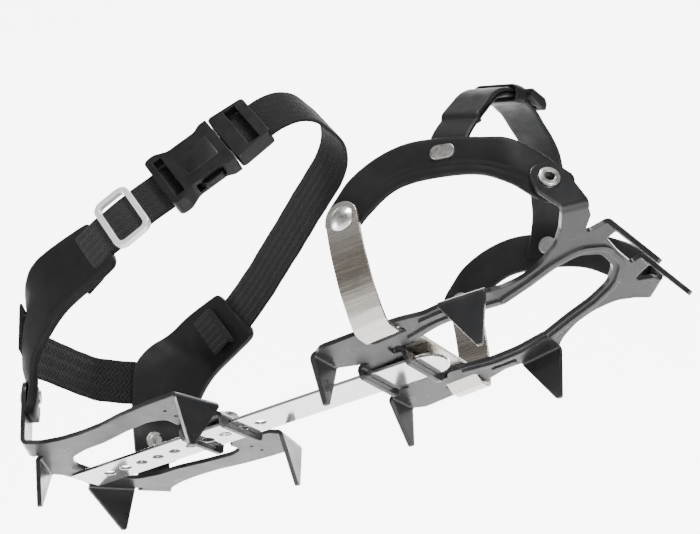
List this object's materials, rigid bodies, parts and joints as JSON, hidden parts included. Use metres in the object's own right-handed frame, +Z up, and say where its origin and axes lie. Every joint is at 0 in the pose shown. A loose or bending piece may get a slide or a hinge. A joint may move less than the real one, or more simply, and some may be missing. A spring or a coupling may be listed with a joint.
{
  "type": "crampons",
  "caption": "Strap-on hiking crampon with hinged steel toe and heel plates, downward spikes, an extender bar, moulded side straps and webbing with a side-release buckle.",
  "frame": {"origin": "centre of the bounding box, on the ground plane that the heel spikes and the rear toe spikes stand on", "axes": "+X to the outer (lateral) side of a right foot, +Y from heel to toe, +Z up from the spike tips to the ankle strap"},
  "size_m": [0.11, 0.3029, 0.1678],
  "materials": {
    "powder_coat": "semi-gloss charcoal powder coat",
    "polished_steel": "mirror-bright spring steel",
    "brushed_steel": "brushed stainless band",
    "rivet_steel": "satin stainless",
    "moulded_strap": "matte moulded elastomer",
    "webbing": "ribbed woven webbing",
    "buckle_plastic": "satin moulded plastic"
  },
  "bodies": {
    "toe_section": {"toe_frame": "powder_coat", "extender_bar_front": "polished_steel", "bar_stud": "rivet_steel", "toe_bail": "brushed_steel", "bail_rivets": "rivet_steel", "bail_washers": "rivet_steel", "side_strap_lateral": "moulded_strap", "side_strap_medial": "moulded_strap", "toe_post_eyelets": "rivet_steel", "oval_rivets": "rivet_steel", "toe_webbing_lateral": "webbing", "toe_webbing_medial": "webbing", "toe_webbing_tail": "webbing", "toe_keeper": "moulded_strap"},
    "toe_buckle": {"toe_buckle": "rivet_steel"},
    "bar_rear": {"extender_bar_rear": "polished_steel"},
    "heel_section": {"heel_frame": "powder_coat", "heel_strap_lateral": "moulded_strap", "heel_strap_medial": "moulded_strap", "heel_rivets": "rivet_steel", "heel_washers": "rivet_steel", "heel_rear_webbing": "webbing", "ankle_webbing_lateral": "webbing", "ankle_webbing_instep": "webbing", "buckle_socket": "buckle_plastic", "buckle_plug": "buckle_plastic"},
    "size_pin": {"size_pin": "rivet_steel"},
    "adjuster_ring": {"adjuster_ring": "rivet_steel"},
    "latch_upper": {"latch_arm_upper": "buckle_plastic"},
    "latch_lower": {"latch_arm_lower": "buckle_plastic"}
  },
  "joints": [
    {"name": "bar_flex", "type": "hinge", "parent": "toe_section", "child": "bar_rear", "pos_m": [0, -0.0045, 0.0184], "axis": [1, 0, 0], "range_deg": [-6, 6], "stiffness_Nm_per_rad": 15},
    {"name": "size_slide", "type": "slide", "parent": "bar_rear", "child": "heel_section", "axis": [0, 1, 0], "range_m": [-0.0192, 0.0288]},
    {"name": "size_lock", "type": "slide", "parent": "heel_section", "child": "size_pin", "axis": [0, 0, 1], "range_m": [-0.0023, 0]},
    {"name": "ring_slide", "type": "slide", "parent": "heel_section", "child": "adjuster_ring", "axis": [-0.2132, 0.8461, 0.4885], "range_m": [-0.002, 0.006]},
    {"name": "latch_upper_squeeze", "type": "hinge", "parent": "heel_section", "child": "latch_upper", "pos_m": [0.03463, -0.02874, 0.14668], "axis": [0.9603, 0.2415, 0.1394], "range_deg": [0, 9], "stiffness_Nm_per_rad": 0.02},
    {"name": "latch_lower_squeeze", "type": "hinge", "parent": "heel_section", "child": "latch_lower", "pos_m": [0.03463, -0.01934, 0.1304], "axis": [-0.9603, -0.2415, -0.1394], "range_deg": [0, 9], "stiffness_Nm_per_rad": 0.02},
    {"name": "toe_buckle_tilt", "type": "hinge", "parent": "toe_section", "child": "toe_buckle", "pos_m": [0.0112, 0.10426, 0.11791], "axis": [0, 0.9281, -0.3723], "range_deg": [0, 25]}
  ]
}
